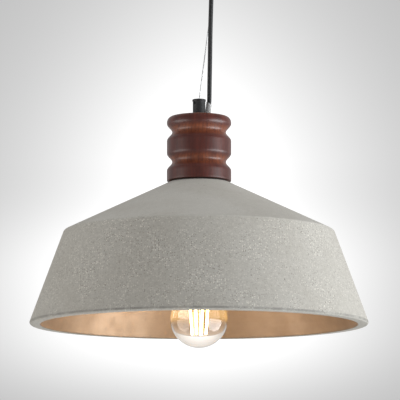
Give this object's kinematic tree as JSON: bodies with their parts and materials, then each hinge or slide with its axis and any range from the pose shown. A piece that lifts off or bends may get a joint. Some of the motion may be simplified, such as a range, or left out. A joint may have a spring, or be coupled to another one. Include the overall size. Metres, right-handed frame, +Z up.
{
  "type": "pendant ceiling light",
  "caption": "Pendant ceiling light: cast concrete shade on a turned wooden collar, hung by a steel wire and black cord from a ceiling canopy, with a clear filament bulb.",
  "frame": {"origin": "the ceiling, over the ball swivel that the lamp hangs from", "axes": "+Z up into the ceiling, +X to the right and -Y towards the viewer"},
  "size_m": [0.3498, 0.3498, 0.4155],
  "materials": {
    "concrete": "matte",
    "wood": "satin",
    "black_metal": "satin",
    "black_plastic": "matte",
    "cord_black": "satin",
    "steel": "satin",
    "zinc": "satin",
    "brass": "satin",
    "rubber": "matte",
    "fibre": "matte",
    "ceramic": "satin",
    "clear_sleeve": "gloss",
    "core_live": "satin",
    "core_neutral": "satin",
    "core_earth": "satin",
    "bulb_glass": "polished",
    "bulb_metal": "satin",
    "filament": "satin",
    "board": "matte"
  },
  "bodies": {
    "ceiling_mount": {"ceiling_bracket": "zinc", "hanger_barrel": "brass", "barrel_nut": "zinc", "terminal_block": "ceramic", "block_screw": "zinc", "earth_screw": "zinc", "cord_tail": "cord_black", "core_live_top": "core_live", "core_neutral_top": "core_neutral", "core_earth_top": "core_earth"},
    "canopy_set": {"canopy": "black_metal", "canopy_washer": "fibre", "cord_gland": "black_plastic", "gland_nut": "black_plastic", "gland_screw": "black_plastic"},
    "canopy_ring": {"canopy_nut": "black_metal"},
    "swivel": {"swivel_ball": "steel"},
    "lamp": {"wire_nipple": "brass", "suspension_wire": "steel", "power_cord": "cord_black", "cord_sleeve": "clear_sleeve", "wire_cap": "black_metal", "grub_screw": "steel", "wire_ferrule": "brass", "wood_collar": "wood", "collar_gasket": "rubber", "shade": "concrete", "stem_tube": "zinc", "clamp_pad": "rubber", "clamp_washer": "zinc", "clamp_nut": "zinc", "earth_tag": "brass", "core_live": "core_live", "core_neutral": "core_neutral", "core_earth": "core_earth", "holder_cover": "black_plastic", "holder_skirt": "black_plastic", "holder_insert": "ceramic", "holder_liner": "brass", "terminal_screw_live": "brass", "terminal_screw_neutral": "brass", "centre_contact": "brass"},
    "bulb_base": {"bulb_contact": "brass"},
    "bulb": {"bulb_glass": "bulb_glass", "bulb_cap": "bulb_metal", "bulb_insulator": "black_plastic", "bulb_stem": "bulb_glass", "bulb_driver": "board", "filament_1": "filament", "filament_2": "filament", "filament_3": "filament", "filament_4": "filament", "filament_post": "bulb_metal", "filament_frame_lower": "bulb_metal", "filament_frame_upper": "bulb_metal"}
  },
  "joints": [
    {"name": "swing_side", "type": "hinge", "parent": "ceiling_mount", "child": "swivel", "pos_m": [0, 0, -0.036], "axis": [0, 1, 0], "range_deg": [-10, 10]},
    {"name": "swing_front", "type": "hinge", "parent": "swivel", "child": "lamp", "pos_m": [0, 0, -0.036], "axis": [1, 0, 0], "range_deg": [-10, 10]},
    {"name": "bulb_travel", "type": "slide", "parent": "lamp", "child": "bulb_base", "axis": [0, 0, -1], "range_m": [0, 0.01815]},
    {"name": "bulb_turn", "type": "hinge", "parent": "bulb_base", "child": "bulb", "pos_m": [-0.0152, -0.005, -0.392], "axis": [0, 0, -1], "range_deg": [0, 1800]},
    {"name": "canopy_travel", "type": "slide", "parent": "ceiling_mount", "child": "canopy_set", "axis": [0, 0, -1], "range_m": [0, 0.006]},
    {"name": "canopy_nut_turn", "type": "hinge", "parent": "canopy_set", "child": "canopy_ring", "pos_m": [0, 0, -0.036], "axis": [0, 0, -1], "range_deg": [0, 1440]}
  ],
  "couplings": [
    {"joint": "bulb_turn", "follows": "bulb_travel", "rad_per_m": 1731.4},
    {"joint": "canopy_nut_turn", "follows": "canopy_travel", "rad_per_m": 4188.8}
  ]
}
